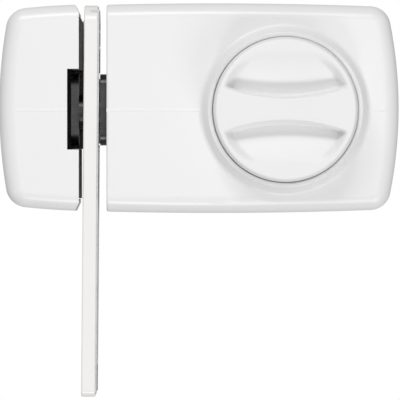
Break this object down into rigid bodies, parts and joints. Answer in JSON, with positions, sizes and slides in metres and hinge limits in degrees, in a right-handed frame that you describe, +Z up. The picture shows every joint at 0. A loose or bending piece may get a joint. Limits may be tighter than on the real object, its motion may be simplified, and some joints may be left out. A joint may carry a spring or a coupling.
{
  "type": "rim lock with limiter bar",
  "caption": "Surface-mounted door lock with a round turn knob, a sliding T-headed bolt, a strike box and a hanging slotted bar that limits how far the door opens.",
  "frame": {"origin": "on the knob's axis, in the plane of the door", "axes": "-Y out of the door towards the room, +Z up, -X the way the bolt is thrown"},
  "size_m": [0.1342, 0.042, 0.1322],
  "materials": {
    "white_plastic": "satin white moulding",
    "knob_plastic": "satin white moulding",
    "bar_plastic": "warm white moulding",
    "bolt_steel": "dark ground steel",
    "dark_steel": "blackened steel",
    "plate_steel": "zinc-plated steel",
    "die_cast": "die-cast, unpainted",
    "nylon": "natural nylon",
    "spring_steel": "hardened spring strip",
    "screw_steel": "zinc-plated screws"
  },
  "bodies": {
    "fixed": {"lock_cover": "white_plastic", "strike_cover": "white_plastic", "lock_back_plate": "plate_steel", "mechanism_lid": "plate_steel", "strike_angle": "dark_steel", "keeper": "dark_steel", "pivot_plate": "dark_steel", "mechanism_case": "die_cast", "bolt_guide_upper": "nylon", "bolt_guide_lower": "nylon", "pinion_bush_rear": "nylon", "pinion_bush_front": "nylon", "knob_washer": "nylon", "bar_washer_strike_side": "nylon", "bar_washer_lock_side": "nylon", "detent_spring": "spring_steel", "pivot_clip": "spring_steel", "pivot_pin": "screw_steel", "pivot_plate_rivets": "screw_steel", "mechanism_case_screws": "screw_steel", "mechanism_lid_screws": "screw_steel", "keeper_screws": "screw_steel", "lock_cover_screws": "screw_steel", "strike_cover_screw": "screw_steel"},
    "knob_set": {"knob": "knob_plastic", "spindle": "bolt_steel", "pinion": "die_cast", "knob_snap_ring": "spring_steel"},
    "bolt": {"bolt": "bolt_steel"},
    "bar": {"bar_core": "plate_steel", "bar_sleeve": "bar_plastic", "bar_bush": "nylon", "sleeve_screws": "screw_steel"}
  },
  "joints": [
    {"name": "knob_turn", "type": "hinge", "parent": "fixed", "child": "knob_set", "pos_m": [0, 0, 0], "axis": [0, -1, 0], "range_deg": [-90, 90]},
    {"name": "bolt_throw", "type": "slide", "parent": "fixed", "child": "bolt", "axis": [-1, 0, 0], "range_m": [-0.0132, 0.0132], "deforming": ["detent_spring"]},
    {"name": "bar_swing", "type": "hinge", "parent": "fixed", "child": "bar", "pos_m": [-0.06495, -0.0145, 0.024], "axis": [-1, 0, 0], "range_deg": [0, 90]}
  ],
  "couplings": [
    {"joint": "bolt_throw", "follows": "knob_turn", "m_per_rad": 0.0084}
  ]
}
